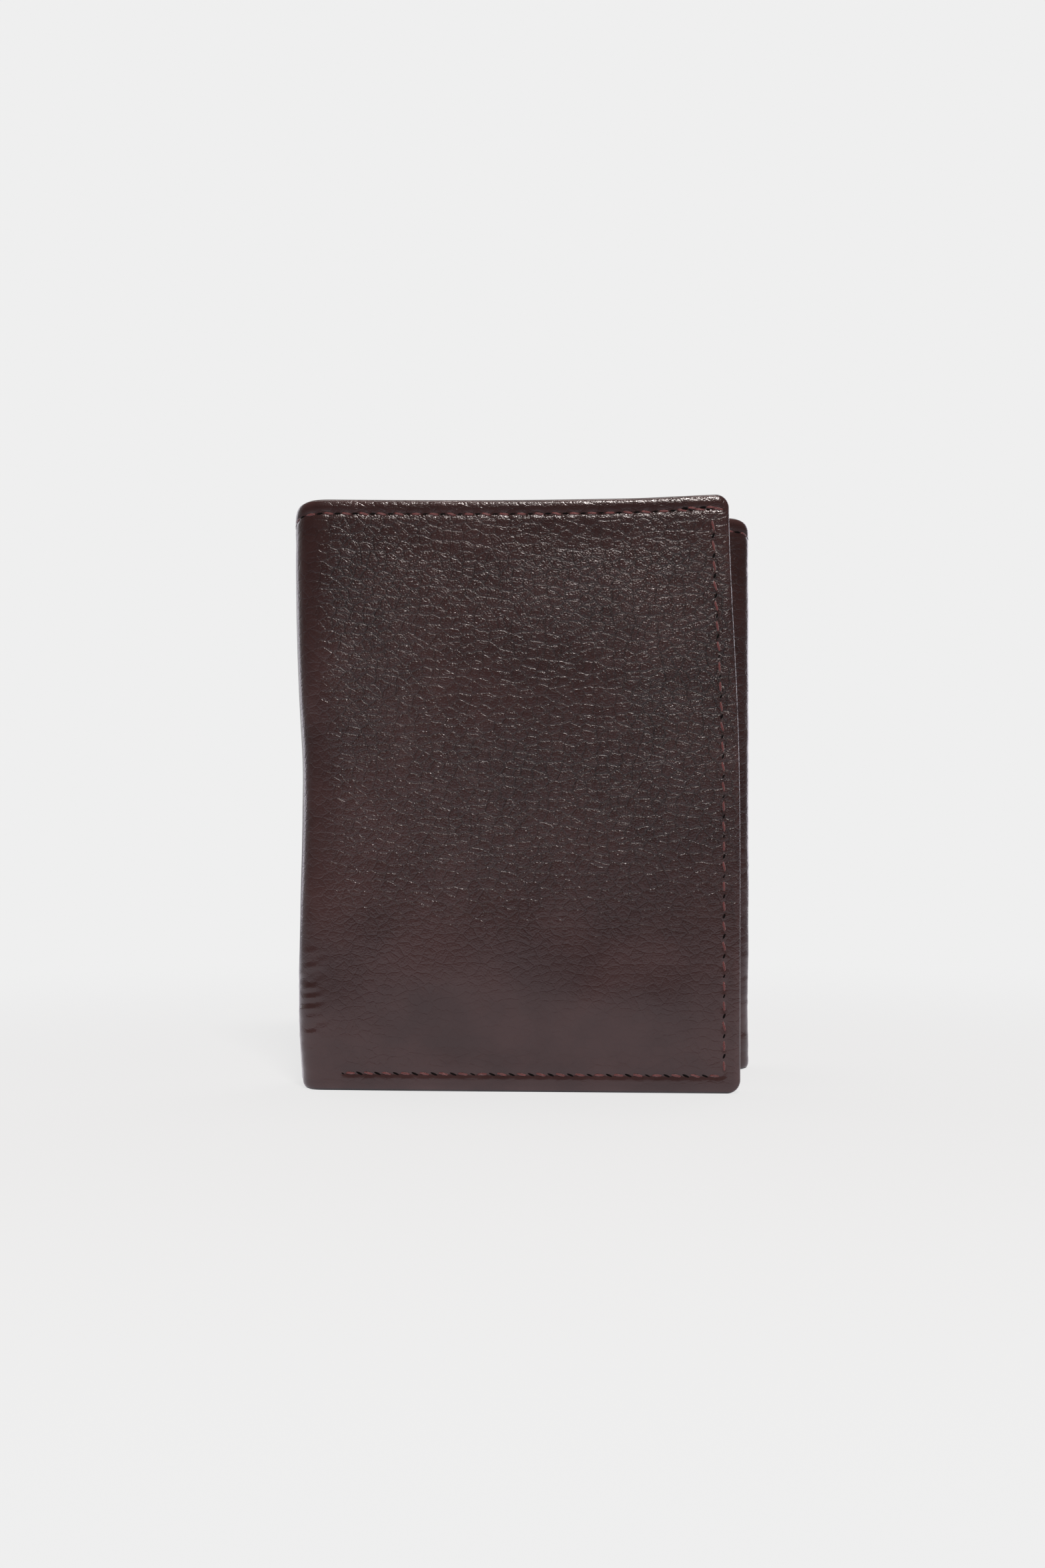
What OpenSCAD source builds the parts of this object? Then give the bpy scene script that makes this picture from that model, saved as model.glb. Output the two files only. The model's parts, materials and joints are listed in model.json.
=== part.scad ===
// Trifold wallet, standing on its lower edge with the front flap a little open.
//
// Every part is drawn in the opened, flat wallet: x runs along the wallet, z is up, the outer
// leather face lies at y = 0 and the inside of the wallet is at y < 0. The modules on_...()
// then fold each part at its creases into the standing pose. From the middle, the back panel,
// the front flap folds in from the left over the inner flap, which folds in from the right.

/* [Wallet] */
// Height of the wallet
wallet_h = 110; // [100:1:120]
// Back panel, from crease to crease
back_w = 88.2; // [82:0.1:95]
// Front flap, from its pressing crease to the free edge
front_w = 77.6; // [70:0.1:80]
// Inner flap, from its crease to the free edge
inner_w = 62.7; // [60:0.1:63]
// Angle between the front flap and the back panel as the wallet stands
stand_angle = 19.5; // [18:0.5:26]

/* [Folds] */
// Width of the front fold between its two creases
front_fold_w = 12; // [11.8:0.1:13]
// Strip of the front flap between the fold and the pressing crease
lip_w = 2.5; // [2:0.1:4]
// Width of the inner fold between its two creases
inner_fold_w = 7; // [6.9:0.1:8]
// Bend radius of the front fold, at the middle of the leather
front_bend_r = 4; // [3:0.1:5]
// Bend radius of the inner fold, at the middle of the leather
inner_bend_r = 3.5; // [3:0.1:4]
// Gap that each panel leaves at a crease
crease_gap = 0.3; // [0.25:0.05:0.5]

/* [Leather and lining] */
// Outer leather
leather_t = 1; // [0.9:0.05:1.2]
// Stiffener board, and the turned-over leather round it
board_t = 0.4; // [0.3:0.05:0.5]
// Lining cloth
lining_t = 0.3; // [0.2:0.05:0.4]
// Depth of the banknote compartment
note_gap = 0.8; // [0.6:0.05:0.8]
// Divider between the banknotes and the cards
divider_t = 0.5; // [0.4:0.05:0.5]
// Card pocket leather
pocket_t = 0.5; // [0.4:0.05:0.5]
// Clear window film
film_t = 0.3; // [0.2:0.05:0.3]
// Room for the card behind the window film
window_gap = 0.3; // [0.3:0.05:0.4]
// Leather frame of the window
frame_t = 0.7; // [0.5:0.05:0.7]
// Width of the turned-over leather along the edges
turn_w = 8; // [6:0.5:10]
// Corner radius of the free edges
corner_r = 2.5; // [1.5:0.1:4]

/* [Seams] */
// Distance from one stitch to the next
stitch_pitch = 3.4; // [3:0.1:4]
// Length of one stitch on the surface
stitch_l = 2.3; // [1.8:0.1:2.6]
// Radius of the thread
thread_r = 0.2; // [0.15:0.01:0.22]
// Height of the top seam below the upper edge
hem_drop = 2.7; // [2.4:0.1:3.5]
// Height of the lower seam above the lower edge
base_rise = 3.3; // [2.8:0.1:4]
// Distance of the side seams from the free edges
side_inset = 3; // [2.6:0.1:4]
// Width and depth of the groove that the stitches lie in
groove_w = 0.8; // [0.6:0.05:1]
groove_d = 0.45; // [0.45:0.01:0.5]

/* [Cards] */
// Width of a card pocket's mouth, for a card standing on its short side
mouth_w = 58; // [56:1:60]
// Height of the lowest pocket mouth
mouth_z = 64; // [55:1:70]
// Rise from one pocket mouth to the next
mouth_step = 12; // [8:1:13]
// Window opening
window_w = 48; // [40:1:50]
window_h = 78; // [60:1:80]

/* [Hidden] */
$fn = 32;

shell_color = [0.24, 0.17, 0.165];
inside_color = [0.28, 0.2, 0.19];
cloth_color = [0.17, 0.14, 0.13];
board_color = [0.5, 0.4, 0.3];
thread_color = [0.42, 0.16, 0.14];
film_color = [0.8, 0.85, 0.88];

// Depths of the layers below the outer leather face
lining_d = leather_t + board_t;
note_d = lining_d + lining_t;
divider_d = note_d + note_gap;
pocket_d = divider_d + divider_t;

// Bend of each crease in the standing wallet
front_bend = (180 - stand_angle) / 2;
inner_bend = 90;

// Depth of a crease's axis that keeps the leather's length as the crease opens
function axis_depth(r, bend) =
    leather_t / 2 + r * (1 - bend / 2 * PI / 180 / tan(bend / 2));
front_axis_d = axis_depth(front_bend_r, front_bend);
inner_axis_d = axis_depth(inner_bend_r, inner_bend);

// Creases along the opened wallet
back_crease = 0;
front_crease = back_crease - front_fold_w;
press_crease = front_crease - lip_w;
front_edge = press_crease - front_w;
inner_back_crease = back_w;
inner_front_crease = inner_back_crease + inner_fold_w;
inner_edge = inner_front_crease + inner_w;

// Start of the card units beside the creases, and their upper edge
unit_start = 3.6;
unit_inset = 1.2;
unit_top = wallet_h - hem_drop - 2.3;
unit_base = 0.6;
welt_w = 4.5;
welt_gap = 0.1;
divider_lap = 1.4;
divider_play = 0.3;
pocket_base_step = 0.8;

// Play of the board and the lining inside the turned-over edges and at the creases
board_play = 0.1;
board_end = 0.5;
lining_play = 1;
lining_end = 0.3;

// Play of a thread on its face, and where the rows of stitches end
thread_play = 0.03;
hem_end = 1;
fold_hem_end = 1.6;
row_end = 0.6;
mouth_end = 0.5;
pocket_seam_inset = 2;
pocket_seam_rise = 3.4;

// A point of the flat wallet, turned about a crease axis
function turned(p, axis, a) = [
    axis[0] + (p[0] - axis[0]) * cos(a) - (p[1] - axis[1]) * sin(a),
    axis[1] + (p[0] - axis[0]) * sin(a) + (p[1] - axis[1]) * cos(a)
];
function on_front_fold_at(p) = turned(p, [back_crease, -front_axis_d], front_bend);
function on_front_at(p) =
    on_front_fold_at(turned(p, [front_crease, -front_axis_d], front_bend));

// The origin is under the middle of the standing wallet's box
left_x = on_front_fold_at([front_crease + crease_gap, 0])[0];
right_x = inner_back_crease + inner_axis_d;
front_y = on_front_at([front_edge, 0])[1];
middle = [(left_x + right_x) / 2, front_y / 2];

// Placement of each body -----------------------------------------------------

module bent_at(crease, depth, a) {
    translate([crease, -depth, 0]) rotate([0, 0, a]) translate([-crease, depth, 0]) children();
}

module on_back() {
    translate([-middle[0], -middle[1], 0]) children();
}

module on_front_fold() {
    on_back() bent_at(back_crease, front_axis_d, front_bend) children();
}

module on_front() {
    on_front_fold() bent_at(front_crease, front_axis_d, front_bend) children();
}

module on_inner_fold() {
    on_back() bent_at(inner_back_crease, inner_axis_d, -inner_bend) children();
}

module on_inner() {
    on_inner_fold() bent_at(inner_front_crease, inner_axis_d, -inner_bend) children();
}

// Shapes ---------------------------------------------------------------------

// Outline from x0 to x1 and z0 to z1, with the corners at x0 rounded by r
module rounded_outline(x0, x1, z0, z1, r) {
    translate([x0 + r, z0]) square([x1 - x0 - r, z1 - z0]);
    translate([x0, z0 + r]) square([2 * r, z1 - z0 - 2 * r]);
    for (z = [z0 + r, z1 - r]) translate([x0 + r, z]) circle(r);
}

// Mirrors what is drawn from x0 to x1 if the free edge is at x1
module facing(x0, x1, side) {
    if (side > 0) translate([x0 + x1, 0]) mirror([1, 0]) children();
    else children();
}

module outline(x0, x1, z0, z1, side = 0, r = corner_r) {
    if (side == 0) translate([x0, z0]) square([x1 - x0, z1 - z0]);
    else facing(x0, x1, side) rounded_outline(x0, x1, z0, z1, r);
}

// A layer of thickness t whose outer face is d below the leather's outer face
module layer(d, t) {
    translate([0, -d, 0]) rotate([90, 0, 0]) linear_extrude(t) children();
}

// A strip that covers a fold, from crease to crease, inset by the bend of the layers above it
module fold_strip(x0, x1, d, t, axis_d, bend) {
    inset = crease_gap + max(0, d + t - axis_d) * tan(bend / 2);
    layer(d, t) outline(x0 + inset, x1 - inset, 0, wallet_h);
}

// One leather panel: a plate with its edges turned over, and a groove for each seam.
// side is -1 or 1 for a free edge at x0 or x1, and 0 for a panel between two folds.
module shell_panel(x0, x1, side = 0) {
    difference() {
        union() {
            layer(0, leather_t) outline(x0, x1, 0, wallet_h, side);
            turned_edges(x0, x1, side);
        }
        hem_groove(x0, x1);
        seam_grooves(x0, x1, side);
    }
}

module turned_edges(x0, x1, side) {
    layer(leather_t, board_t) difference() {
        outline(x0, x1, 0, wallet_h, side);
        board_outline(x0, x1, side);
    }
}

module board_outline(x0, x1, side) {
    left = side < 0 ? turn_w : -1;
    right = side > 0 ? turn_w : -1;
    outline(x0 + left, x1 - right, turn_w, wallet_h - turn_w);
}

module hem_groove(x0, x1) {
    translate([x0 - 1, -groove_d, wallet_h - hem_drop - groove_w / 2])
        cube([x1 - x0 + 2, groove_d + 1, groove_w]);
}

// The lower groove starts where the card unit does, and a free edge has a side groove
module seam_grooves(x0, x1, side) {
    seam_x0 = side < 0 ? x0 + side_inset : x0 + unit_start;
    seam_x1 = side > 0 ? x1 - side_inset : x1 - unit_start;
    half = groove_w / 2;
    translate([seam_x0 - half, -groove_d, base_rise - half])
        cube([seam_x1 - seam_x0 + groove_w, groove_d + 1, groove_w]);
    if (side != 0)
        translate([(side < 0 ? seam_x0 : seam_x1) - half, -groove_d, base_rise - half])
            cube([groove_w, groove_d + 1, unit_top - base_rise]);
}

module board(x0, x1, side) {
    inset = turn_w + board_play;
    left = side < 0 ? inset : board_end;
    right = side > 0 ? inset : board_end;
    layer(leather_t, board_t)
        outline(x0 + left, x1 - right, inset, wallet_h - inset);
}

module lining(x0, x1, side) {
    left = side < 0 ? lining_play : lining_end;
    right = side > 0 ? lining_play : lining_end;
    layer(lining_d, lining_t)
        outline(x0 + left, x1 - right, lining_play, wallet_h - lining_play);
}

// Strips that close the banknote compartment along the lower edge and the free edge
module welts(x0, x1, side) {
    layer(note_d, note_gap) {
        outline(x0, x1, unit_base, unit_base + welt_w);
        if (side != 0)
            translate([side < 0 ? x0 : x1 - welt_w, unit_base + welt_w + welt_gap])
                square([welt_w, unit_top - unit_base - welt_w - welt_gap]);
    }
}

// Width of a card unit between its crease side and its free side
function unit_x0(x0, side) = x0 + (side < 0 ? unit_inset : unit_start);
function unit_x1(x1, side) = x1 - (side > 0 ? unit_inset : unit_start);

module divider(x0, x1) {
    layer(divider_d, divider_t) outline(x0, x1, unit_base, unit_top);
}

// The card pocket number n from the face of the unit; level 0 lies on the divider
module card_pocket(x0, x1, level, n) {
    layer(pocket_d + level * pocket_t, pocket_t)
        outline(x0, x1, unit_base + n * pocket_base_step, mouth_z + n * mouth_step);
}

// Stitches -------------------------------------------------------------------

module stitch_x(x, d, z) {
    translate([x - stitch_l / 2, -d, z]) rotate([0, 90, 0])
        cylinder(r = thread_r, h = stitch_l, $fn = 16);
}

module stitch_z(x, d, z) {
    translate([x, -d, z - stitch_l / 2]) cylinder(r = thread_r, h = stitch_l, $fn = 16);
}

// Depths of the stitches on the two faces of a seam through everything down to d
function seam_depths(d) = [thread_r + thread_play, d + thread_r + thread_play];

module row_x(x0, x1, z, d) {
    n = max(1, round((x1 - x0) / stitch_pitch));
    for (i = [0 : n - 1], depth = seam_depths(d))
        stitch_x(x0 + (i + 0.5) * (x1 - x0) / n, depth, z);
}

module row_z(x, z0, z1, d) {
    n = max(1, round((z1 - z0) / stitch_pitch));
    for (i = [0 : n - 1], depth = seam_depths(d))
        stitch_z(x, depth, z0 + (i + 0.5) * (z1 - z0) / n);
}

module hem_row(x0, x1) {
    row_x(x0, x1, wallet_h - hem_drop, note_d);
}

// The seam along the lower edge and, on a flap, up the free edge
module edge_row(x0, x1, side, d) {
    seam_x0 = side < 0 ? x0 + side_inset : x0 + unit_start;
    seam_x1 = side > 0 ? x1 - side_inset : x1 - unit_start;
    row_x(seam_x0 + row_end, seam_x1 - row_end, base_rise, d);
    if (side != 0)
        row_z(side < 0 ? seam_x0 : seam_x1, base_rise + row_end, mouth_z - mouth_end, d);
}

// The rest of a flap's side seam, above the lowest pocket mouth, lies one pocket deeper
module upper_edge_row(x, count) {
    for (n = [1 : count]) {
        low = mouth_z + (n - 1) * mouth_step;
        high = n < count ? low + mouth_step : unit_top;
        row_z(x, low + mouth_end, high - mouth_end, pocket_d + (count - n) * pocket_t);
    }
}

// A seam on the inside only, beside the crease, that closes the pockets
module inside_row_z(x, z0, z1, d) {
    n = max(1, round((z1 - z0) / stitch_pitch));
    for (i = [0 : n - 1])
        stitch_z(x, seam_depths(d)[1], z0 + (i + 0.5) * (z1 - z0) / n);
}

// Back panel -----------------------------------------------------------------

back_x0 = back_crease + crease_gap;
back_x1 = inner_back_crease - crease_gap;
back_unit_x0 = back_x0 + unit_start;
back_unit_x1 = back_x1 - unit_start;
film_d = pocket_d + window_gap;
frame_d = film_d + film_t;
frame_x0 = (back_unit_x0 + back_unit_x1) / 2 - window_w / 2;
frame_z0 = 12;
frame_top = frame_z0 + window_h + 7;
film_lap = 4;
film_play = 0.2;
frame_seam_inset = 2.2;
frame_face_d = frame_d + frame_t;

module back_shell() {
    color(shell_color) on_back() shell_panel(back_x0, back_x1);
}

module back_board() {
    color(board_color) on_back() board(back_x0, back_x1, 0);
}

module back_lining() {
    color(cloth_color) on_back() lining(back_x0, back_x1, 0);
}

module back_welt() {
    color(inside_color) on_back() welts(back_unit_x0, back_unit_x1, 0);
}

module back_divider() {
    color(inside_color) on_back()
        divider(back_unit_x0 - divider_lap, back_unit_x1 + divider_lap);
}

module id_window_film() {
    color(film_color) on_back() layer(film_d, film_t)
        outline(frame_x0 - film_lap, frame_x0 + window_w + film_lap,
            frame_z0 - film_lap, frame_z0 + window_h + film_lap);
}

// The frame's own turned edges stand on the divider round the film
module id_window_frame() {
    color(inside_color) on_back() {
        layer(frame_d, frame_t) difference() {
            outline(back_unit_x0, back_unit_x1, unit_base, frame_top);
            translate([frame_x0, frame_z0]) square([window_w, window_h]);
        }
        layer(pocket_d, window_gap + film_t) frame_turns();
    }
}

// Left, right and lower turned edges of the window frame
module frame_turns() {
    side_w = frame_x0 - film_lap - film_play - back_unit_x0;
    side_h = frame_top - unit_base;
    base_h = frame_z0 - film_lap - film_play - unit_base;
    translate([back_unit_x0, unit_base]) square([side_w, side_h]);
    translate([back_unit_x1 - side_w, unit_base]) square([side_w, side_h]);
    translate([back_unit_x0, unit_base]) square([back_unit_x1 - back_unit_x0, base_h]);
}

module back_hem_thread() {
    color(thread_color) on_back() hem_row(back_x0 + hem_end, back_x1 - hem_end);
}

module back_base_thread() {
    color(thread_color) on_back() edge_row(back_x0, back_x1, 0, frame_face_d);
}

// The seam that holds the film in its frame, seen on the frame's face
module id_frame_thread() {
    x0 = frame_x0 - frame_seam_inset;
    x1 = frame_x0 + window_w + frame_seam_inset;
    z0 = frame_z0 - frame_seam_inset;
    z1 = frame_z0 + window_h + frame_seam_inset;
    n = round((x1 - x0) / stitch_pitch);
    color(thread_color) on_back() {
        for (i = [0 : n - 1], z = [z0, z1])
            stitch_x(x0 + (i + 0.5) * (x1 - x0) / n, seam_depths(frame_face_d)[1], z);
        inside_row_z(x0, z0, z1, frame_face_d);
        inside_row_z(x1, z0, z1, frame_face_d);
    }
}

// Front fold and lip ---------------------------------------------------------

module front_fold_shell() {
    color(shell_color) on_front_fold() difference() {
        fold_strip(front_crease, back_crease, 0, leather_t, front_axis_d, front_bend);
        hem_groove(front_crease, back_crease);
    }
}

module front_fold_lining() {
    color(cloth_color) on_front_fold()
        fold_strip(front_crease, back_crease, lining_d, lining_t, front_axis_d, front_bend);
}

module front_fold_divider() {
    inset = crease_gap + (pocket_d - front_axis_d) * tan(front_bend / 2) + divider_play;
    color(inside_color) on_front_fold() layer(divider_d, divider_t)
        outline(front_crease + inset, back_crease - inset, unit_base, unit_top);
}

module front_fold_thread() {
    color(thread_color) on_front_fold()
        row_x(front_crease + fold_hem_end, back_crease - fold_hem_end,
            wallet_h - hem_drop, note_d);
}

lip_x0 = press_crease + crease_gap;
lip_x1 = front_crease - crease_gap;

module front_lip_shell() {
    color(shell_color) on_front() difference() {
        layer(0, leather_t) outline(lip_x0, lip_x1, 0, wallet_h);
        hem_groove(lip_x0, lip_x1);
    }
}

module front_lip_lining() {
    inset = (note_d - front_axis_d) * tan(front_bend / 2);
    color(cloth_color) on_front() layer(lining_d, lining_t)
        outline(lip_x0, lip_x1 - inset, 0, wallet_h);
}

module front_lip_thread() {
    color(thread_color) on_front()
        stitch_x((lip_x0 + lip_x1) / 2, seam_depths(0)[0], wallet_h - hem_drop);
}

// Front flap -----------------------------------------------------------------

front_x1 = press_crease - crease_gap;
front_unit_x0 = unit_x0(front_edge, -1);
front_unit_x1 = unit_x1(front_x1, -1);
front_face_d = pocket_d + 3 * pocket_t;

module front_shell() {
    color(shell_color) on_front() shell_panel(front_edge, front_x1, -1);
}

module front_board() {
    color(board_color) on_front() board(front_edge, front_x1, -1);
}

module front_lining() {
    color(cloth_color) on_front() lining(front_edge, front_x1, -1);
}

module front_welts() {
    color(inside_color) on_front() welts(front_unit_x0, front_unit_x1, -1);
}

module front_divider() {
    color(inside_color) on_front() divider(front_unit_x0, front_unit_x1 + divider_lap);
}

module front_pocket_rear() {
    color(inside_color) on_front() card_pocket(front_unit_x0, front_unit_x1, 0, 2);
}

module front_pocket_middle() {
    color(inside_color) on_front() card_pocket(front_unit_x0, front_unit_x1, 1, 1);
}

module front_pocket_face() {
    color(inside_color) on_front() card_pocket(front_unit_x0, front_unit_x1, 2, 0);
}

module front_hem_thread() {
    color(thread_color) on_front() hem_row(front_edge + hem_end, front_x1 - hem_end);
}

module front_edge_thread() {
    color(thread_color) on_front() {
        edge_row(front_edge, front_x1, -1, front_face_d);
        upper_edge_row(front_edge + side_inset, 3);
    }
}

module front_pocket_thread() {
    color(thread_color) on_front()
        inside_row_z(front_unit_x1 - pocket_seam_inset, base_rise + pocket_seam_rise,
            mouth_z - mouth_end, front_face_d);
}

// Inner fold -----------------------------------------------------------------

module inner_fold_shell() {
    color(shell_color) on_inner_fold() difference() {
        fold_strip(inner_back_crease, inner_front_crease, 0, leather_t,
            inner_axis_d, inner_bend);
        hem_groove(inner_back_crease, inner_front_crease);
    }
}

module inner_fold_lining() {
    color(cloth_color) on_inner_fold()
        fold_strip(inner_back_crease, inner_front_crease, lining_d, lining_t,
            inner_axis_d, inner_bend);
}

module inner_fold_divider() {
    inset = crease_gap + (pocket_d - inner_axis_d) * tan(inner_bend / 2) + divider_play;
    color(inside_color) on_inner_fold() layer(divider_d, divider_t)
        outline(inner_back_crease + inset, inner_front_crease - inset,
            unit_base, unit_top);
}

module inner_fold_thread() {
    color(thread_color) on_inner_fold()
        row_x(inner_back_crease + fold_hem_end, inner_front_crease - fold_hem_end,
            wallet_h - hem_drop, note_d);
}

// Inner flap -----------------------------------------------------------------

inner_x0 = inner_front_crease + crease_gap;
inner_unit_x0 = unit_x0(inner_x0, 1);
inner_unit_x1 = unit_x1(inner_edge, 1);
inner_face_d = pocket_d + 2 * pocket_t;

module inner_shell() {
    color(shell_color) on_inner() shell_panel(inner_x0, inner_edge, 1);
}

module inner_board() {
    color(board_color) on_inner() board(inner_x0, inner_edge, 1);
}

module inner_lining() {
    color(cloth_color) on_inner() lining(inner_x0, inner_edge, 1);
}

module inner_welts() {
    color(inside_color) on_inner() welts(inner_unit_x0, inner_unit_x1, 1);
}

module inner_divider() {
    color(inside_color) on_inner() divider(inner_unit_x0 - divider_lap, inner_unit_x1);
}

module inner_pocket_rear() {
    color(inside_color) on_inner() card_pocket(inner_unit_x0, inner_unit_x1, 0, 1);
}

module inner_pocket_face() {
    color(inside_color) on_inner() card_pocket(inner_unit_x0, inner_unit_x1, 1, 0);
}

module inner_hem_thread() {
    color(thread_color) on_inner() hem_row(inner_x0 + hem_end, inner_edge - hem_end);
}

module inner_edge_thread() {
    color(thread_color) on_inner() {
        edge_row(inner_x0, inner_edge, 1, inner_face_d);
        upper_edge_row(inner_edge - side_inset, 2);
    }
}

module inner_pocket_thread() {
    color(thread_color) on_inner()
        inside_row_z(inner_unit_x0 + pocket_seam_inset, base_rise + pocket_seam_rise,
            mouth_z - mouth_end, inner_face_d);
}

// Output ---------------------------------------------------------------------

back_shell();
back_board();
back_lining();
back_welt();
back_divider();
id_window_film();
id_window_frame();
back_hem_thread();
back_base_thread();
id_frame_thread();
front_fold_shell();
front_fold_lining();
front_fold_divider();
front_fold_thread();
front_lip_shell();
front_lip_lining();
front_lip_thread();
front_shell();
front_board();
front_lining();
front_welts();
front_divider();
front_pocket_rear();
front_pocket_middle();
front_pocket_face();
front_hem_thread();
front_edge_thread();
front_pocket_thread();
inner_fold_shell();
inner_fold_lining();
inner_fold_divider();
inner_fold_thread();
inner_shell();
inner_board();
inner_lining();
inner_welts();
inner_divider();
inner_pocket_rear();
inner_pocket_face();
inner_hem_thread();
inner_edge_thread();
inner_pocket_thread();
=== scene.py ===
"""A brown pebble-grain trifold wallet, standing on its lower edge with the front flap ajar.

The leather and cloth are cut flat and folded, so each piece is drawn on the unrolled
wallet: u runs along it, z is up, and depth goes inwards from the outer leather face, all
in millimetres. to_frame() folds such a point into the standing wallet, in metres.
"""

import json
import math

import bpy
import numpy as np
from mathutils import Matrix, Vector


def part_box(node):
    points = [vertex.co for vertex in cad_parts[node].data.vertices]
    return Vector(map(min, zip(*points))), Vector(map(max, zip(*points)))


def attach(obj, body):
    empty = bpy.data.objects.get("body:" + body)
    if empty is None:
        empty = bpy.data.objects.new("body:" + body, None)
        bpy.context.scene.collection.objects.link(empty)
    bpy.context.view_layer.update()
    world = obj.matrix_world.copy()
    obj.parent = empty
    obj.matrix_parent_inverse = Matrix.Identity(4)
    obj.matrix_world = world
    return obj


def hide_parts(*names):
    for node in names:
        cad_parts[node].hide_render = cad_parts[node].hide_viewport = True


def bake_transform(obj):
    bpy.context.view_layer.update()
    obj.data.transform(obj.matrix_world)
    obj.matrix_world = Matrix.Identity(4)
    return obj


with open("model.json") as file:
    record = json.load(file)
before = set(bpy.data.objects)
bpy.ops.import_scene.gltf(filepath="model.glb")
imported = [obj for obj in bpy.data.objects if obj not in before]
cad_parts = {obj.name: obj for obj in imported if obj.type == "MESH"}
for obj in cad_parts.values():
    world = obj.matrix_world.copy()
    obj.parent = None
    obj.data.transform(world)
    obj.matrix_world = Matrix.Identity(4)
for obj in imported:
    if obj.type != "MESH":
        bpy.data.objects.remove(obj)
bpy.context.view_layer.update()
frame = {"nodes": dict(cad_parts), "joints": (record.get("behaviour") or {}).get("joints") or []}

# ---------------------------------------------------------------------------
# The unrolled wallet
# One long strip is folded at four creases: a wide fold on the left, between the
# back panel and the front flap, and a narrow one on the right for the inner flap.
# ---------------------------------------------------------------------------

MM = 0.001
hinges = {j["name"]: j for j in frame["joints"]}
leather_t = 1.0
front_bend_r = 4.0
inner_bend_r = 3.5
front_reach = 77.6
inner_reach = 62.7


def axis_of(joint):
    """The place of a crease's axis, seen from above."""
    return np.array(hinges[joint]["pos_m"][:2]) / MM


def crease_gap(joint, other):
    """Width of the strip of leather between two creases."""
    return float(np.linalg.norm(axis_of(joint) - axis_of(other)))


wallet_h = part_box("back_shell")[1].z / MM
outer_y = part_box("back_shell")[1].y / MM
front_crease = -crease_gap("front_back_crease", "front_face_crease")
press_crease = front_crease - crease_gap("front_face_crease", "front_flap_press")
front_edge = press_crease - front_reach
back_w = crease_gap("front_back_crease", "inner_back_crease")
inner_crease = back_w + crease_gap("inner_back_crease", "inner_face_crease")
inner_edge = inner_crease + inner_reach

front_bend = math.radians(hinges["front_back_crease"]["range_deg"][1])
inner_bend = math.radians(hinges["inner_back_crease"]["range_deg"][1])
# Each bend eases in and out, so it is this many times as long as a plain arc
ease = 1.299
front_half = ease * front_bend_r * front_bend / 2
inner_half = ease * inner_bend_r * inner_bend / 2


def smooth(t):
    """Eases from 0 to 1 while t goes from 0 to 1."""
    t = np.clip(t, 0, 1)
    return t * t * (3 - 2 * t)


def heading(u):
    """How far the leather has turned at u, counted from the back panel."""
    turn = np.zeros_like(u)
    for crease in (0.0, front_crease):
        turn += front_bend * smooth((crease + front_half - u) / (2 * front_half))
    for crease in (back_w, inner_crease):
        turn -= inner_bend * smooth((u - crease + inner_half) / (2 * inner_half))
    return turn


trace_step = 0.01
trace_spare = 4


def trace_leather():
    """The line of the leather's middle, seen from above, at small steps of u."""
    u = np.arange(front_edge - trace_spare, inner_edge + trace_spare, trace_step)
    turn = heading(u)
    x = np.cumsum(np.cos(turn)) * trace_step
    y = np.cumsum(np.sin(turn)) * trace_step
    middle = np.searchsorted(u, back_w / 2)
    x += axis_of("front_back_crease")[0] + u[middle] - x[middle]
    y += outer_y - leather_t / 2 - y[middle]
    return u, x, y


trace_u, trace_x, trace_y = trace_leather()


def bell(place, middle, reach):
    """1 at the middle, falling off softly on both sides."""
    return np.exp(-(((place - middle) / reach) ** 2))


def slump(u, start, end, reach):
    """How far a fold between two places has rounded off: 1 in it, 0 out of its reach."""
    outside = np.maximum(start - u, u - end) / reach
    return np.clip(1 - outside, 0, 1) ** 2.5


# How far use has pulled the wallet out of square, and where its two folds are
top_lean = 2.1
foot_lean = 1.2
flap_sag = 0.4
corner_lift = 0.35
front_slump = 1.9
inner_slump = 2.3
foot_lift = 0.35
front_fold_span = (front_crease + 3, -3)
inner_fold_span = (back_w + 2.5, inner_crease - 2.5)


def used_shape(u, z):
    """How use has pulled the wallet out of square: shifts along u, up z and across x."""
    lean = top_lean * smooth((z - 30) / 80) ** 2.2 - foot_lean
    lean = lean * smooth((press_crease - u) / 60)
    flap = np.clip((u - front_edge) / (press_crease - front_edge), 0, 1)
    sag = corner_lift * smooth((0.25 - flap) / 0.25) - flap_sag * np.sin(np.pi * flap)
    slumped = front_slump * slump(u, *front_fold_span, 8.5) + inner_slump * slump(u, *inner_fold_span, 7)
    rise = smooth((z - 70) / 40) * sag - smooth((z - 92) / 18) * slumped
    rise = rise + foot_lift * smooth((5 - z) / 5) * slump(u, *front_fold_span, 4)
    waist = bell(z, 58, 24) + 0.6 * smooth((90 - z) / 60) + 0.7 * bell(z, 0, 9)
    across = waist * bell(u, front_crease + 4, 16) + 0.45 * bell(u, back_w + 3.5, 14)
    return lean, rise, across


def to_frame(u, depth, z):
    """Points of the unrolled wallet, folded into the standing wallet, in metres."""
    u, depth, z = np.broadcast_arrays(
        np.asarray(u, float), np.asarray(depth, float), np.asarray(z, float)
    )
    along, rise, across = used_shape(u, z)
    u = u + along
    turn = heading(u)
    inward = depth - leather_t / 2
    x = np.interp(u, trace_u, trace_x) + np.sin(turn) * inward + across
    y = np.interp(u, trace_u, trace_y) - np.cos(turn) * inward
    return np.stack([x, y, z + rise], -1) * MM


# Places where one moving stretch ends and the next begins
fold_split = -6.0
press_start = -14.2
press_end = -17.4
back_split = back_w / 2
inner_split = (back_w + inner_crease) / 2
turn_start = -9.2

SPLITS = [press_start, fold_split, back_split, inner_split]

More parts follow.
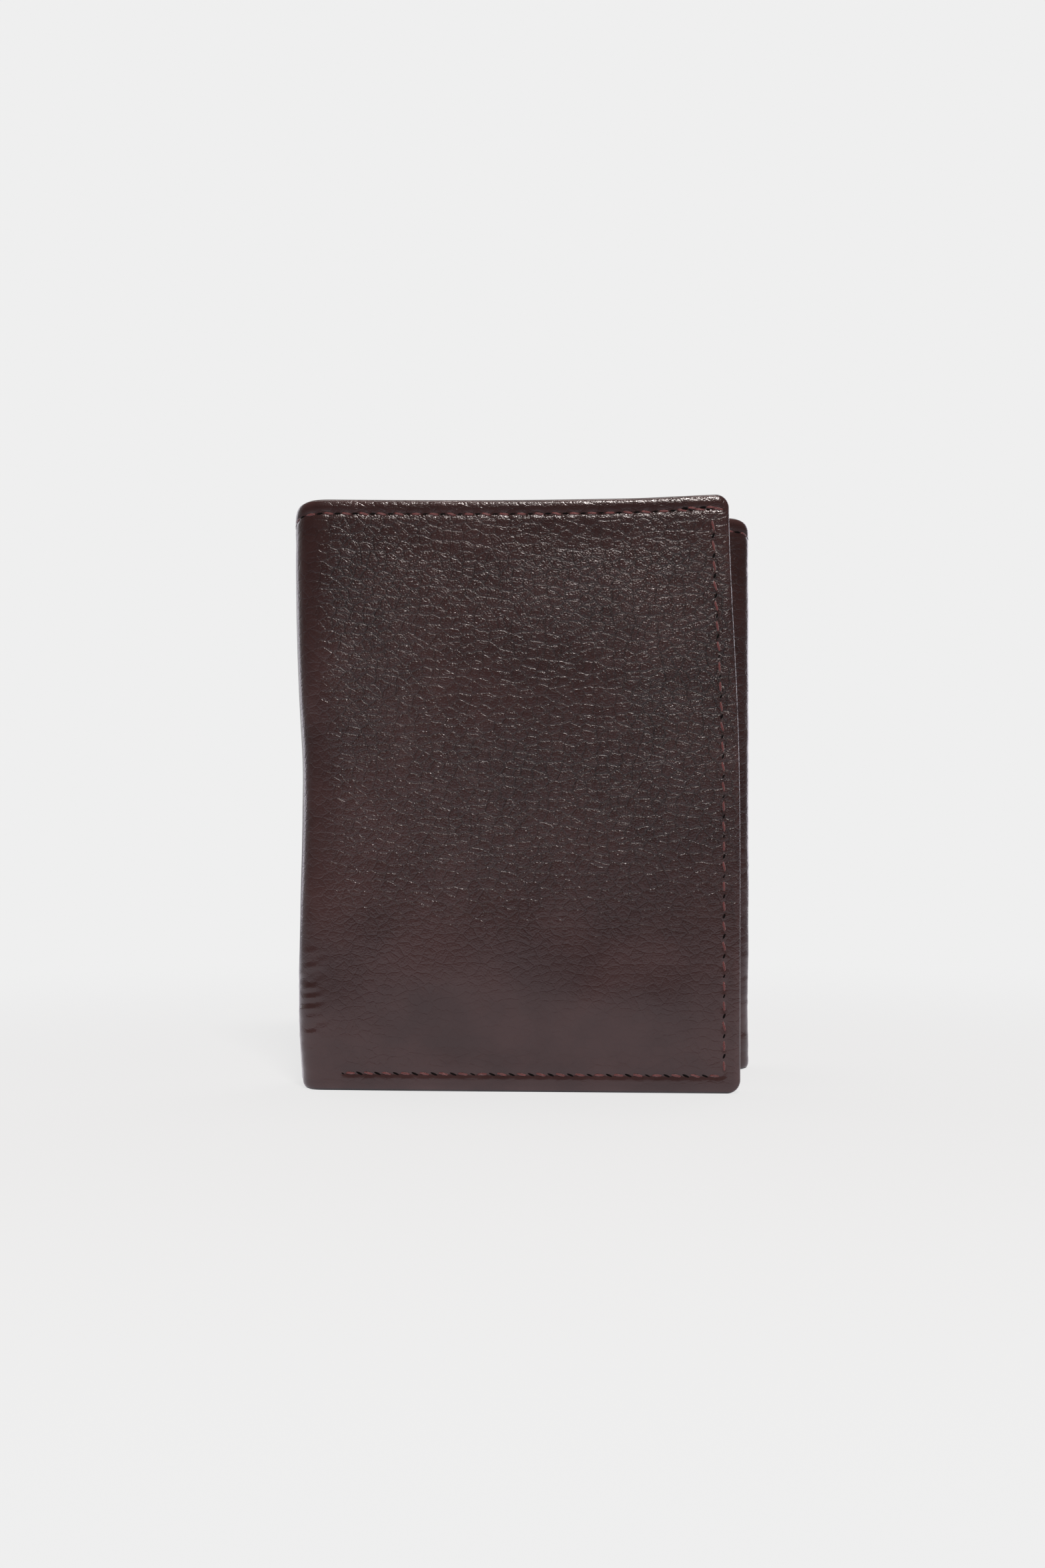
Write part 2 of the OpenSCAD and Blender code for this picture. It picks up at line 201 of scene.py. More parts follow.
# Each stretch: its ends along u, its two bodies, and where it starts and stops turning
STRETCHES = {
    "front": (front_edge, press_start, "front_lip", "front_flap", press_start, press_end),
    "front_turn": (press_start, fold_split, "front_fold", "front_lip",
                   turn_start, press_start),
    "back_left": (fold_split, back_split, "back_panel", "front_fold",
                  front_half, -front_half),
    "back_right": (back_split, inner_split, "back_panel", "inner_fold",
                   2 * back_w - inner_split, inner_split),
    "inner": (inner_split, inner_edge, "inner_fold", "inner_flap",
              inner_split, 2 * inner_crease - inner_split),
}

# The nodes of each layer in a stretch are named after these
STRETCH_PARTS = {
    "front": ["front"],
    "front_turn": ["front_lip"],
    "back_left": ["back", "front_fold"],
    "back_right": ["back"],
    "inner": ["inner", "inner_fold"],
}


def layer_nodes(stretch, layer):
    """The nodes that a stretch of the shell, the lining or the divider stands for."""
    nodes = [part + "_" + layer for part in STRETCH_PARTS[stretch]]
    return [node for node in nodes if node in frame["nodes"]]


def follow(piece, stretch):
    """Bakes the piece's placement into its points; where its stretch starts and stops turning is worked
    out but not used.
    """
    _, _, start_body, end_body, start_u, end_u = STRETCHES[stretch]
    start = to_frame(start_u, leather_t / 2, wallet_h / 2)
    end = to_frame(end_u, leather_t / 2, wallet_h / 2)
    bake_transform(piece)


# ---------------------------------------------------------------------------
# Outer leather
# One piece of milled pebble-grain leather, dyed dark brown. Its edges are thinned,
# turned over 8 mm and glued down, so every outer edge is a soft roll.
# ---------------------------------------------------------------------------

roll_r = 0.8
roll_reach = 1.3
turn_w = 8.0
turn_depth = 1.75
flesh_depth = 1.0
corner_r = 2.5
hem_z = wallet_h - 2.7
base_z = 3.3
side_inset = 3.0
crown = 0.5

hem_pitch = 3.3
side_pitch = 3.7
base_pitch = 3.5
# Where the seams end: from the free edges, the top, the creases and the press crease
hem_start_gap = 0.3
hem_end_gap = 0.6
side_gap = 3.9
base_gap = 3.9
press_gap = 4.2


def lines(start, end, step, fine=()):
    """Places from start to end, closer together within the reach of each fine spot."""
    places = [start]
    while places[-1] < end - 1e-6:
        near = [s for middle, reach, s in fine if abs(places[-1] - middle) <= reach]
        places.append(min(end, places[-1] + min([step] + near)))
    if len(places) > 2 and places[-1] - places[-2] < 0.3 * step:
        del places[-2]
    return np.array(places)


def soft_noise(a, b, seed):
    """Smooth random hills about 1 unit apart and from -1 to 1 high."""
    table = np.random.default_rng(seed).uniform(-1, 1, (64, 64))
    ia = np.floor(a).astype(int)
    ib = np.floor(b).astype(int)
    fa = smooth(a - ia)
    fb = smooth(b - ib)
    low = table[ia % 64, ib % 64] * (1 - fa) + table[(ia + 1) % 64, ib % 64] * fa
    high = table[ia % 64, (ib + 1) % 64] * (1 - fa) + table[(ia + 1) % 64, (ib + 1) % 64] * fa
    return low * (1 - fb) + high * fb


def make_mesh(name, points, quads, **point_values):
    """A smooth mesh object from points, four-cornered faces and values on its points."""
    mesh = bpy.data.meshes.new(name)
    mesh.vertices.add(len(points))
    mesh.vertices.foreach_set("co", points.astype(np.float32).ravel())
    mesh.loops.add(quads.size)
    mesh.loops.foreach_set("vertex_index", quads.astype(np.int32).ravel())
    mesh.polygons.add(len(quads))
    mesh.polygons.foreach_set("loop_start", np.arange(0, quads.size, 4, dtype=np.int32))
    mesh.update(calc_edges=True)
    for key, values in point_values.items():
        if values.ndim == 2:
            mesh.attributes.new(key, "FLOAT_VECTOR", "POINT")
            mesh.attributes[key].data.foreach_set("vector", values.astype(np.float32).ravel())
        else:
            mesh.attributes.new(key, "FLOAT", "POINT")
            mesh.attributes[key].data.foreach_set("value", values.astype(np.float32).ravel())
    mesh.shade_smooth()
    piece = bpy.data.objects.new(name, mesh)
    bpy.context.scene.collection.objects.link(piece)
    return piece


def leaf(name, us, zs, face, back, keep=None, joined=(), **point_values):
    """A closed sheet between two depths over a grid of u and z. keep marks its cells.

    joined lists the u at which the sheet goes on in another piece, so its end has no bevel.
    """
    shape = us.shape
    count = us.size
    points = np.concatenate([
        to_frame(us, face, zs).reshape(-1, 3),
        to_frame(us, back, zs).reshape(-1, 3),
    ])
    index = np.arange(count).reshape(shape)
    if keep is None:
        keep = np.ones((shape[0] - 1, shape[1] - 1), bool)
    corners = np.stack([index[:-1, :-1], index[:-1, 1:], index[1:, 1:], index[1:, :-1]], -1)
    outside = corners[keep]
    quads = [outside, outside[:, ::-1] + count]
    padded = np.pad(keep, 1)
    neighbours = [padded[:-2, 1:-1], padded[1:-1, 2:], padded[2:, 1:-1], padded[1:-1, :-2]]
    for side, neighbour in enumerate(neighbours):
        rim = corners[keep & ~neighbour]
        a = rim[:, side]
        b = rim[:, (side + 1) % 4]
        quads.append(np.stack([b, a, a + count, b + count], -1))
    quads = np.concatenate(quads)
    pattern = np.stack([us, zs, np.zeros(shape)], -1).reshape(-1, 3)
    values = {"pattern": np.concatenate([pattern, pattern + [40.0, 40.0, 0.0]])}
    for key, value in point_values.items():
        flat = np.broadcast_to(value, shape).ravel()
        values[key] = np.concatenate([flat, flat])
    piece = make_mesh(name, points, quads, **values)
    at_joint = np.zeros(2 * count, bool)
    for u in joined:
        at_joint |= np.abs(np.concatenate([us, us]).ravel() - u) < 1e-6
    flat_face = at_joint[quads].all(1)
    piece.data.polygons.foreach_set("use_smooth", ~flat_face)
    ends = np.zeros(len(piece.data.edges) * 2, np.int32)
    piece.data.edges.foreach_get("vertices", ends)
    piece.data.attributes.new("sharp_edge", "BOOLEAN", "EDGE")
    piece.data.attributes["sharp_edge"].data.foreach_set("value", at_joint[ends.reshape(-1, 2)].all(1))
    return piece


def rolled(distance, radius, reach=None):
    """How deep an edge of that radius has rolled at a distance from the rim, within its reach."""
    inside = 1 - np.clip(distance / (reach or radius), 0, 1)
    return radius * (1 - np.sqrt(1 - inside ** 2))


def rim_distance(us, zs):
    """Distance to the nearest outer edge, before the corners are rounded."""
    distance = np.minimum(zs, wallet_h - zs)
    distance = np.minimum(distance, us - front_edge)
    return np.minimum(distance, inner_edge - us)


def rounded_corners(us, zs, radius=corner_r):
    """Moves the grid so that the square corners at the free edges become round."""
    free = np.minimum(us - front_edge, inner_edge - us)
    rise = np.minimum(zs, wallet_h - zs)
    a = np.clip(radius - free, 1e-9, None)
    b = np.clip(radius - rise, 1e-9, None)
    pull = np.where((free < radius) & (rise < radius), np.maximum(a, b) / np.hypot(a, b), 1.0)
    new_free = np.where(free < radius, radius - a * pull, free)
    new_rise = np.where(rise < radius, radius - b * pull, rise)
    us = np.where(us < (front_edge + inner_edge) / 2, front_edge + new_free, inner_edge - new_free)
    zs = np.where(zs < wallet_h / 2, new_rise, wallet_h - new_rise)
    return us, zs


def pulled(across, along, pitch):
    """Depth of the valley that a row of tight stitches pulls into the leather."""
    tight = 0.72 + 0.28 * np.cos(2 * np.pi * along / pitch)
    valley = 0.2 * bell(across, 0, 0.5) * tight
    shoulder = 0.025 * bell(np.abs(across), 1.4, 0.8)
    return valley - shoulder


def row_steps(start, end, pitch):
    """Middles of the stitches of a row, and the true pitch that fits its length."""
    count = max(1, round(abs(end - start) / pitch))
    true_pitch = (end - start) / count
    return start + (np.arange(count) + 0.5) * true_pitch, true_pitch


# The seams: each has the middles of its stitches and its true pitch
hem_steps, hem_true = row_steps(
    front_edge + hem_start_gap, inner_edge - hem_end_gap, hem_pitch)
side_steps, side_true = row_steps(base_z, wallet_h - side_gap, side_pitch)
front_base_steps, front_base_true = row_steps(
    front_edge + side_inset, press_crease - press_gap, base_pitch)
back_base_steps, back_base_true = row_steps(base_gap, back_w - base_gap, base_pitch)
inner_base_steps, inner_base_true = row_steps(
    inner_crease + base_gap, inner_edge - side_inset, base_pitch)
BASE_ROWS = [
    (front_base_steps, front_base_true),
    (back_base_steps, back_base_true),
    (inner_base_steps, inner_base_true),
]


def seam_depth(us, zs):
    """Depth that all the seams together pull into the outer leather."""
    depth = pulled(zs - hem_z, us - hem_steps[0], hem_true)
    for edge, side in ((front_edge, 1), (inner_edge, -1)):
        within = smooth((wallet_h - 3.6 - zs) / 1.5) * smooth((zs - base_z + 0.6) / 0.8)
        across = (us - edge) * side - side_inset
        depth = depth + within * pulled(across, zs - side_steps[0], side_true)
    for steps, pitch in BASE_ROWS:
        within = smooth((us - steps[0] + 2.2) / 1.0) * smooth((steps[-1] + 2.2 - us) / 1.0)
        depth = depth + within * pulled(zs - base_z, us - steps[0], pitch)
    return depth


def near(place, middle, reach):
    """1 at the middle, fading to 0 at its reach."""
    return smooth(1 - np.abs(place - middle) / reach)


def fold_wrinkles(us, zs):
    """Small cross wrinkles in the leather that is bent most."""
    ripple = soft_noise(us / 3.2 + 3.1, zs / 0.95 + 0.16 * us, 11)
    broad = 0.55 + 0.45 * soft_noise(us / 30.0, zs / 14.0, 12)
    low = 0.15 + 0.85 * bell(zs, 17, 11)
    left = near(us, front_crease - 0.5, 5.0) + near(us, 0.0, 4.5)
    right = near(us, back_w, 4.5) + near(us, inner_crease, 4.5)
    return ripple * broad * (0.24 * low * left + 0.08 * right)


def panel_crown(us, zs):
    """The panels swell a little between their seams."""
    rise = smooth(zs / 22) * smooth((wallet_h - zs) / 22)
    front = smooth((us - front_edge) / 18) * smooth((press_crease - 2 - us) / 16)
    back = smooth((us - 2) / 18) * smooth((back_w - 2 - us) / 18)
    inner = 0.4 * smooth((us - inner_crease - 2) / 16) * smooth((inner_edge - us) / 18)
    return crown * rise * (front + back + inner)


def outer_depth(us, zs, distance):
    """Depth of the leather's outer face: rolled edges, seams, wrinkles and hollows."""
    calm = smooth((distance - 0.4) / 1.4)
    waves = 0.17 * soft_noise(us / 17 + 5, zs / 15, 3) + 0.07 * soft_noise(us / 6.5, zs / 7.5, 4)
    hem_edge = 0.02 * bell(distance, turn_w, 1.2)
    hem_waves = 0.022 * soft_noise(us / 3.4, zs / 3.0, 8) * near(zs, wallet_h - 1.2, 2.5)
    depth = seam_depth(us, zs) + hem_edge + hem_waves + fold_wrinkles(us, zs)
    depth = depth - panel_crown(us, zs) + waves * smooth((distance - 2) / 8)
    return rolled(distance, roll_r, roll_reach) + calm * depth


def inner_depth(distance, zs):
    """Depth of the leather's inside: the turned-over edge, then the bare flesh side."""
    turned = smooth((turn_w + 0.3 - distance) / 0.3)
    depth = flesh_depth + (turn_depth - flesh_depth) * turned
    return depth - rolled(distance, roll_r, roll_reach)


def fill(tree, made, inputs):
    """Fills a node's sockets with values, or links them to other nodes' outputs."""
    for key, value in inputs.items():
        if isinstance(value, bpy.types.NodeSocket):
            tree.links.new(value, made.inputs[key])
        else:
            made.inputs[key].default_value = value


def add(tree, kind, inputs=None, **settings):
    """Adds a shader node, with its settings made and its sockets filled."""
    made = tree.nodes.new("ShaderNode" + kind)
    for key, value in settings.items():
        setattr(made, key, value)
    fill(tree, made, inputs or {})
    return made


def calc(tree, operation, a, b=0.5, c=0.5):
    """The result of one sum on numbers."""
    return add(tree, "Math", {0: a, 1: b, 2: c}, operation=operation).outputs[0]


def vector_calc(tree, operation, a, b):
    """The result of one sum on vectors."""
    return add(tree, "VectorMath", {0: a, 1: b}, operation=operation).outputs[0]


def mixed(tree, factor, a, b):
    """A colour between a and b."""
    made = add(tree, "Mix", {0: factor, 6: a, 7: b}, data_type="RGBA")
    return made.outputs[2]


def ranged(tree, value, low, high, to_low=0.0, to_high=1.0):
    """Maps a number from one range to another, and keeps it there."""
    inputs = {"Value": value, "From Min": low, "From Max": high,
              "To Min": to_low, "To Max": to_high}
    return add(tree, "MapRange", inputs, interpolation_type="SMOOTHSTEP").outputs[0]


def new_group(name, inputs, outputs):
    """An empty node group with named sockets. Returns it with its input and output nodes."""
    group = bpy.data.node_groups.new(name, "ShaderNodeTree")
    for label, kind, default in inputs:
        socket = group.interface.new_socket(name=label, in_out="INPUT", socket_type=kind)
        if default is not None:
            socket.default_value = default
    for label, kind in outputs:
        group.interface.new_socket(name=label, in_out="OUTPUT", socket_type=kind)
    return group, group.nodes.new("NodeGroupInput"), group.nodes.new("NodeGroupOutput")


def bumped(tree, height, depth=MM):
    """The way the surface faces once it is embossed by a height of that depth, in metres."""
    return add(tree, "Bump", {"Distance": depth, "Height": height}).outputs[0]


FLOAT = "NodeSocketFloat"
VECTOR = "NodeSocketVector"


def make_pebble_grain():
    """Milled leather grain, in millimetres: wide pebbles parted by creases, fine ones on them.

    Crease is 1 deep between pebbles. The glint output is 1 on fine pebbles near the pebble rims, which
    are coloured lighter as a painted glint.
    """
    group, given, out = new_group(
        "pebble grain",
        [("Place", VECTOR, None), ("Cell", FLOAT, 2.2), ("Flatness", FLOAT, 1.8),
         ("Depth", FLOAT, 0.12)],
        [("Height", FLOAT), ("Crease", FLOAT), ("Painted Glint", FLOAT), ("Tone", FLOAT)],
    )
    cell = given.outputs["Cell"]
    scale = calc(group, "DIVIDE", 1.0, cell)
    fine_scale = calc(group, "MULTIPLY", scale, 4.2)
    # Places are bent by noise, so that no crease runs straight
    bend = add(group, "TexNoise", {
        "Vector": given.outputs["Place"], "Scale": calc(group, "MULTIPLY", scale, 0.55),
        "Detail": 3.0, "Roughness": 0.55})
    bend = vector_calc(group, "SUBTRACT", bend.outputs["Color"], (0.5, 0.5, 0.5))
    bend = add(group, "VectorMath", {0: bend, 3: calc(group, "MULTIPLY", cell, 0.9)},
               operation="SCALE").outputs[0]
    place = vector_calc(group, "ADD", given.outputs["Place"], bend)
    squeeze = add(group, "CombineXYZ", {
        0: calc(group, "DIVIDE", 1.0, given.outputs["Flatness"]), 1: 1.0, 2: 1.0})
    wide = vector_calc(group, "MULTIPLY", place, squeeze.outputs[0])
    # Wide pebbles, fine ones on them, pores, and hair-fine creases across them all
    big = add(group, "TexVoronoi", {"Vector": wide, "Scale": scale},
              feature="DISTANCE_TO_EDGE", voronoi_dimensions="2D")
    tone = add(group, "TexVoronoi", {"Vector": wide, "Scale": scale},
               feature="F1", voronoi_dimensions="2D")
    fine = add(group, "TexVoronoi", {"Vector": place, "Scale": fine_scale},
               feature="F1", voronoi_dimensions="2D")
    pores = add(group, "TexNoise", {
        "Vector": given.outputs["Place"], "Scale": calc(group, "MULTIPLY", scale, 14.0),
        "Detail": 2.0})
    hair = add(group, "TexNoise", {
        "Vector": wide, "Scale": calc(group, "MULTIPLY", scale, 0.42), "Detail": 1.5})
    hair = calc(group, "ABSOLUTE", calc(group, "SUBTRACT", hair.outputs[0], 0.5))
    hair = ranged(group, hair, 0.0, 0.016)
    # The height of them all together
    lip = ranged(group, big.outputs["Distance"], 0.0, 0.1)
    pebble = calc(group, "MULTIPLY_ADD", ranged(group, big.outputs["Distance"], 0.0, 0.5), 0.5,
                  calc(group, "MULTIPLY", lip, 0.58))
    off = fine.outputs["Distance"]
    dome = calc(group, "SUBTRACT", 0.4, calc(group, "MULTIPLY", off, off))
    uneven = calc(group, "MULTIPLY_ADD", fine.outputs["Color"], 0.7, 0.65)
    height = calc(group, "MULTIPLY_ADD", calc(group, "MULTIPLY", dome, uneven), 0.85, pebble)
    height = calc(group, "MULTIPLY_ADD", hair, 0.2, height)
    height = calc(group, "MULTIPLY_ADD", pores.outputs[0], 0.3, height)
    height = calc(group, "MULTIPLY", height, given.outputs["Depth"])
    # How deep a place lies in a crease, and which fine pebbles near the rims get a painted glint
    dimple = ranged(group, off, 0.3, 0.62, 1.0, 0.0)
    low = calc(group, "MULTIPLY", pebble, calc(group, "MULTIPLY_ADD", dimple, 0.6, 0.4))
    crease = ranged(group, low, 0.0, 0.8, 1.0, 0.0)
    rim = calc(group, "MULTIPLY", ranged(group, big.outputs["Distance"], 0.02, 0.1),
               ranged(group, big.outputs["Distance"], 0.12, 0.3, 1.0, 0.0))
    glint_pebbles = calc(group, "MULTIPLY", ranged(group, fine.outputs["Color"], 0.5, 0.8),
                    ranged(group, off, 0.1, 0.3, 1.0, 0.0))
    painted_glint = calc(group, "MULTIPLY", glint_pebbles, calc(group, "MULTIPLY_ADD", rim, 0.9, 0.1))
    group.links.new(height, out.inputs["Height"])
    group.links.new(crease, out.inputs["Crease"])
    group.links.new(painted_glint, out.inputs["Painted Glint"])
    group.links.new(tone.outputs["Color"], out.inputs["Tone"])
    return group


pebble_grain = make_pebble_grain()


def new_material(name):
    """A material with only its shader. Returns it with its tree and shader."""
    material = bpy.data.materials.new(name)
    material.use_nodes = True
    shader = material.node_tree.nodes["Principled BSDF"]
    return material, material.node_tree, shader


def pattern_place(tree):
    """Where the shader is on the unrolled wallet, in millimetres."""
    return add(tree, "Attribute", attribute_name="pattern").outputs["Vector"]


def make_leather(name, dark, light, cell, depth_mm, rough):
    """Dyed and finished leather, with painted shade darkening the grain creases, painted glints on the
    pebble rims, lighter colour where it wears and where light is painted, and a nearly black painted
    contact shadow along its bottom edge.
    """
    material, tree, shader = new_material(name)
    place = pattern_place(tree)
    grain = add(tree, "Group", {
        "Place": place, "Cell": cell, "Flatness": 1.25, "Depth": depth_mm},
        node_tree=pebble_grain)
    strength = add(tree, "Attribute", attribute_name="grain").outputs["Fac"]
    rubbed = add(tree, "Attribute", attribute_name="rub").outputs["Fac"]
    cloud = add(tree, "TexNoise", {"Vector": place, "Scale": 0.07, "Detail": 4.0})
    cloudy = ranged(tree, cloud.outputs[0], 0.35, 0.68)
    # Painted shade: the grain creases are coloured darker than the pebble tops.
    sunk = calc(tree, "MULTIPLY", grain.outputs["Crease"], strength)
    tops = calc(tree, "MULTIPLY_ADD", sunk, -0.55, 0.55)
    lift = calc(tree, "MULTIPLY_ADD", cloudy, 0.3, tops)
    lift = calc(tree, "MULTIPLY_ADD", grain.outputs["Tone"], 0.14, lift)
    color = mixed(tree, lift, dark, light)
    # Painted glints: fine pebbles near the pebble rims are coloured lighter.
    painted_glint = calc(tree, "MULTIPLY", grain.outputs["Painted Glint"], strength)
    # Places of wear, of painted light and of painted floor reflection are coloured lighter.
    wear_glint_and_light = calc(tree, "MULTIPLY", rubbed, calc(tree, "MULTIPLY_ADD", cloudy, 0.5, 0.5))
    wear_glint_and_light = calc(tree, "MAXIMUM", wear_glint_and_light, calc(tree, "MULTIPLY", painted_glint, 0.7))
    color = mixed(tree, wear_glint_and_light, color, (light[0] * 2.1, light[1] * 2.6, light[2] * 2.7, 1.0))
    # Painted contact shadow: the bottom edge is coloured nearly black, and made rougher.
    dyed = add(tree, "Attribute", attribute_name="dye").outputs["Fac"]
    color = mixed(tree, dyed, color, (0.002, 0.0015, 0.0015, 1.0))
    uneven = calc(tree, "MULTIPLY_ADD", sunk, 0.16, rough)
    uneven = calc(tree, "MULTIPLY_ADD", grain.outputs["Tone"], 0.06, uneven)
    uneven = calc(tree, "MULTIPLY_ADD", wear_glint_and_light, -0.14, uneven)
    uneven = calc(tree, "MULTIPLY_ADD", dyed, 0.4, uneven)
    height = calc(tree, "MULTIPLY", grain.outputs["Height"], strength)
    fill(tree, shader, {
        "Base Color": color, "Roughness": uneven, "Normal": bumped(tree, height)})
    return material


hide_leather = make_leather(
    "hide leather", (0.0095, 0.0034, 0.0031, 1.0), (0.037, 0.0155, 0.0142, 1.0), 1.7, 0.108, 0.195)


def grain_strength(us, zs):
    """The grain is bold in the middle of the panels, and pressed flat low down and at folds."""
    bold = 0.14 + 0.96 * smooth((zs - 12) / 48)
    patch = 0.85 + 0.35 * soft_noise(us / 21 + 2, zs / 19 + 7, 5)
    pressed = 1 - 0.72 * smooth((us - front_crease + 9) / 8) * smooth((5 - us) / 8)
    pressed = pressed - 0.75 * smooth((us - back_w + 5) / 6) * smooth((inner_crease + 5 - us) / 6)
    hem = 1 - 0.6 * smooth((zs - wallet_h + 4) / 2)
    near_hem = 1 - 0.3 * smooth((zs - wallet_h + 13) / 5)
    return np.clip(bold * patch * pressed * hem * near_hem, 0.08, 1.15)


def rub_marks(us, zs, distance):
    """How much lighter the leather is coloured: wear at the rims and folds, a painted reflection of the
    pale floor towards the bottom, and painted light on the middle of the front flap towards its fold.
    """
    rim = 0.55 * smooth((1.5 - distance) / 1.3)
    folds = near(us, front_crease, 3.4) + near(us, 0, 3.4)
    folds = folds + near(us, back_w, 3.2) + near(us, inner_crease, 3.2)
    patchy = 0.6 + 0.4 * soft_noise(us / 2.2, zs / 3.1, 9)
    # Painted reflection of the pale floor: the lower part is coloured lighter.
    painted_floor_reflection = 0.27 * smooth((58 - zs) / 48)
    # Painted light: the middle of the front flap towards its fold is coloured lighter, where more light
    # falls.
    painted_fold_side_light = 0.3 * smooth((us - front_edge - 28) / 36) * smooth((-8 - us) / 6)
    painted_fold_side_light = painted_fold_side_light * smooth((96 - zs) / 26) * smooth((zs - 16) / 24)
    return np.clip((rim + 0.28 * folds) * patchy + painted_floor_reflection + painted_fold_side_light, 0, 1)


# The grid is finer at the rims, along the seams and where the front fold wrinkles
hide_z = lines(0, wallet_h, 0.55, [
    (0, 0.9, 0.13), (wallet_h, 0.95, 0.13), (hem_z, 1.5, 0.2), (base_z, 1.3, 0.2),
    (17, 9, 0.33)])
hide_fine = [(front_edge, 0.9, 0.13), (inner_edge, 0.95, 0.13),
             (front_edge + side_inset, 1.3, 0.2), (inner_edge - side_inset, 1.3, 0.2)]

for stretch, (start_u, end_u, *_) in STRETCHES.items():
    us, zs = np.meshgrid(lines(start_u, end_u, 0.43, hide_fine), hide_z, indexing="ij")
    distance = rim_distance(us, zs)
    us, zs = rounded_corners(us, zs)
    # Here the leather gets wear mixed with painted light and painted floor reflection, and a nearly
    # black painted contact shadow along its bottom edge.
    hide = leaf(
        "hide_" + stretch, us, zs, outer_depth(us, zs, distance), inner_depth(distance, zs),
        joined=SPLITS, grain=grain_strength(us, zs), rub=rub_marks(us, zs, distance),
        dye=smooth((0.5 - zs) / 0.35))
    hide.data.materials.append(hide_leather)
    follow(hide, stretch)
    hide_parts(*layer_nodes(stretch, "shell"))

# ---------------------------------------------------------------------------
# Stiffener boards
# Grey-brown paperboard, glued between the leather and the lining inside the
# turned-over edges. Nothing of it shows; it keeps the panels flat.
# ---------------------------------------------------------------------------


def make_paperboard():
    """Pressed paper fibre, mottled and dry."""
    material, tree, shader = new_material("paperboard")
    fibre = add(tree, "TexNoise", {
        "Vector": pattern_place(tree), "Scale": 0.9, "Detail": 5.0})
    color = mixed(tree, fibre.outputs[0], (0.24, 0.17, 0.11, 1.0), (0.4, 0.31, 0.22, 1.0))
    fill(tree, shader, {
        "Base Color": color, "Roughness": 0.9,
        "Normal": bumped(tree, fibre.outputs[0], 0.04 * MM)})
    return material


paperboard = make_paperboard()
board_play = 0.1
board_gap = 4.2
board_press_gap = 1.2
board_step = 3.0
board_depths = (1.03, 1.27)
board_z = lines(turn_w + board_play, wallet_h - turn_w - board_play, board_step)
for name, body, start_u, end_u in (
        ("back_board", "back_panel", board_gap, back_w - board_gap),
        ("front_board", "front_flap",
         front_edge + turn_w + board_play, press_crease - board_press_gap),
        ("inner_board", "inner_flap",
         inner_crease + board_gap, inner_edge - turn_w - board_play)):
    us, zs = np.meshgrid(lines(start_u, end_u, board_step), board_z, indexing="ij")
    board = leaf(name + "_cut", us, zs, *board_depths)
    board.data.materials.append(paperboard)
    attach(board, body)
    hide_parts(name)

# ---------------------------------------------------------------------------
# Lining cloth
# A dark ribbed cloth glued to the inside of the leather, all round the banknote
# compartment. Its top goes under the turned-over leather.
# ---------------------------------------------------------------------------

lining_face = 1.28
lining_back = 1.52
lining_low = 1.2
lining_tuck = 2.0
lining_top = wallet_h - turn_w + lining_tuck
lining_inset = 1.4
lining_slack = 0.05
rib_pitch = 0.42


def make_lining_cloth():
    """Fine ribbed cloth: raised cross ribs, held down by thin warp threads."""
    material, tree, shader = new_material("lining cloth")
    place = pattern_place(tree)
    parts = add(tree, "SeparateXYZ", {0: place})
    rib = calc(tree, "SINE", calc(tree, "MULTIPLY", parts.outputs[1], 2 * math.pi / rib_pitch))
    warp = calc(tree, "SINE", calc(tree, "MULTIPLY", parts.outputs[0], 4 * math.pi / rib_pitch))
    weave = calc(tree, "MULTIPLY_ADD", warp, 0.35, rib)
    fuzz = add(tree, "TexNoise", {"Vector": place, "Scale": 4.0, "Detail": 3.0})
    weave = calc(tree, "MULTIPLY_ADD", fuzz.outputs[0], 0.6, weave)
    tone = ranged(tree, weave, -1.2, 1.6)
    color = mixed(tree, tone, (0.007, 0.0045, 0.004, 1.0), (0.03, 0.02, 0.017, 1.0))
    fill(tree, shader, {
        "Base Color": color, "Roughness": 0.72, "Normal": bumped(tree, weave, 0.06 * MM),
        "Sheen Weight": 0.25, "Sheen Roughness": 0.4})
    return material


lining_cloth = make_lining_cloth()
for stretch, (start_u, end_u, *_) in STRETCHES.items():
    start_u = max(start_u, front_edge + lining_inset)
    end_u = min(end_u, inner_edge - lining_inset)
    us, zs = np.meshgrid(
        lines(start_u, end_u, 0.8), lines(lining_low, lining_top, 1.5), indexing="ij")
    slack = lining_slack * soft_noise(us / 9, zs / 11, 21)
    lining = leaf(
        "lining_" + stretch, us, zs, lining_face, lining_back + slack, joined=SPLITS)
    lining.data.materials.append(lining_cloth)
    follow(lining, stretch)
    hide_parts(*layer_nodes(stretch, "lining"))
    run = np.diff(to_frame(us[:, 0], lining_back, 0.0), axis=0)

# ---------------------------------------------------------------------------
# Welts, dividers and card pockets
# Softer, finer leather than the outside, with a light crease pressed along each
# mouth. The welts close the banknote compartment; the pockets take a card each.
# ---------------------------------------------------------------------------

unit_low = 0.6
unit_top = wallet_h - 5.0
unit_inset = 1.2
unit_start = 3.9
welt_w = 4.5
welt_face = 1.75
divider_face = 2.5
divider_back = 3.0
pocket_t = 0.5
mouth_low = 64.0
mouth_step = 12.0
mouth_crease_below = 1.6
mouth_gape = 0.16
mouth_gape_reach = 22
pocket_wave = 0.05
cut_r = 0.22

pocket_leather = make_leather(
    "pocket leather", (0.018, 0.0082, 0.0072, 1.0), (0.043, 0.021, 0.019, 1.0), 1.0, 0.05, 0.4)


def cut_wear(distance):
    """The grain of pocket leather, and the wear along its cut edges."""
    return {"grain": 1.0, "rub": 0.5 * smooth((0.6 - distance) / 0.5)}


